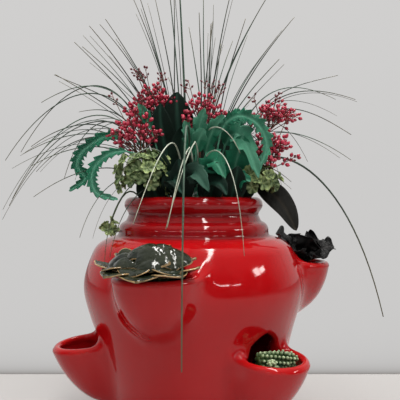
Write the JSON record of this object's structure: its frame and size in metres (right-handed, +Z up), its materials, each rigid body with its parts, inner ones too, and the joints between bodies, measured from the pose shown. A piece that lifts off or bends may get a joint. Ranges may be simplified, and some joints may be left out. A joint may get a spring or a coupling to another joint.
{
  "type": "strawberry jar planter",
  "caption": "Bellied glazed jar with a rolled neck and staggered cupped side pockets, dressed with artificial grass, berries, leaves and succulents.",
  "frame": {"origin": "on the jar's axis, level with its foot, at the mouth of the drain hole", "axes": "+Z up along the jar's axis; the pictured front faces -Y, and +X is to its right"},
  "size_m": [0.4675, 0.3953, 0.6],
  "materials": {
    "red_glaze": "thick glossy red glaze over fired clay",
    "foam_green": "rigid dry foam, cut and pressed in, with a powdery face",
    "echeveria_green": "glossy moulded vinyl, dark green shading to olive, with a coppery edge",
    "rosette_black": "glossy moulded vinyl, near black with a purple cast",
    "pick_green": "moulded stem",
    "sedum_green": "soft moulded vinyl beads, greyish green to yellow green",
    "grass_green": "moulded blades, olive brown to pale green",
    "berry_crimson": "glossy beads on brown wire twigs",
    "leaf_teal": "stiffened cloth, teal green",
    "leaf_dark_green": "stiffened cloth, dark green",
    "leaf_brown": "stiffened cloth, near-black brown",
    "filler_green": "moulded sprigs, yellow green"
  },
  "bodies": {
    "jar": {"jar_body": "red_glaze", "pocket_upper_front": "red_glaze", "pocket_upper_right": "red_glaze", "pocket_upper_back": "red_glaze", "pocket_lower_right": "red_glaze", "pocket_lower_back": "red_glaze", "pocket_lower_left": "red_glaze", "foam_plug_front": "foam_green", "foam_plug_right": "foam_green", "foam_plug_sedum": "foam_green"},
    "arrangement": {"foam_column": "foam_green", "grass_upright_left": "grass_green", "grass_upright_right": "grass_green", "grass_upright_back": "grass_green", "grass_arching_left": "grass_green", "grass_arching_right": "grass_green", "grass_drooping_front": "grass_green", "grass_stout_stem": "grass_green", "berries_left_high": "berry_crimson", "berries_left_low": "berry_crimson", "berries_centre": "berry_crimson", "berries_right_high": "berry_crimson", "berries_right_low": "berry_crimson", "teal_leaves_curled": "leaf_teal", "teal_leaves_scalloped": "leaf_teal", "dark_leaves": "leaf_dark_green", "brown_leaf": "leaf_brown", "filler_left": "filler_green", "filler_right": "filler_green", "filler_sprig": "filler_green"},
    "echeveria": {"echeveria_leaves": "echeveria_green", "echeveria_heart": "echeveria_green", "echeveria_pick": "pick_green"},
    "black_rosette": {"black_rosette": "rosette_black", "black_pick": "pick_green"},
    "sedum": {"sedum_strand": "sedum_green", "sedum_tuft": "sedum_green", "sedum_pick": "pick_green"}
  },
  "joints": [
    {"name": "arrangement_lift", "type": "slide", "parent": "jar", "child": "arrangement", "axis": [0, 0, 1], "range_m": [0, 0.3]},
    {"name": "echeveria_lift", "type": "slide", "parent": "jar", "child": "echeveria", "axis": [0, 0, 1], "range_m": [0, 0.04]},
    {"name": "black_rosette_lift", "type": "slide", "parent": "jar", "child": "black_rosette", "axis": [0, 0, 1], "range_m": [0, 0.04]},
    {"name": "sedum_lift", "type": "slide", "parent": "jar", "child": "sedum", "axis": [0.1715, -0.1938, 0.9659], "range_m": [0, 0.045]}
  ]
}
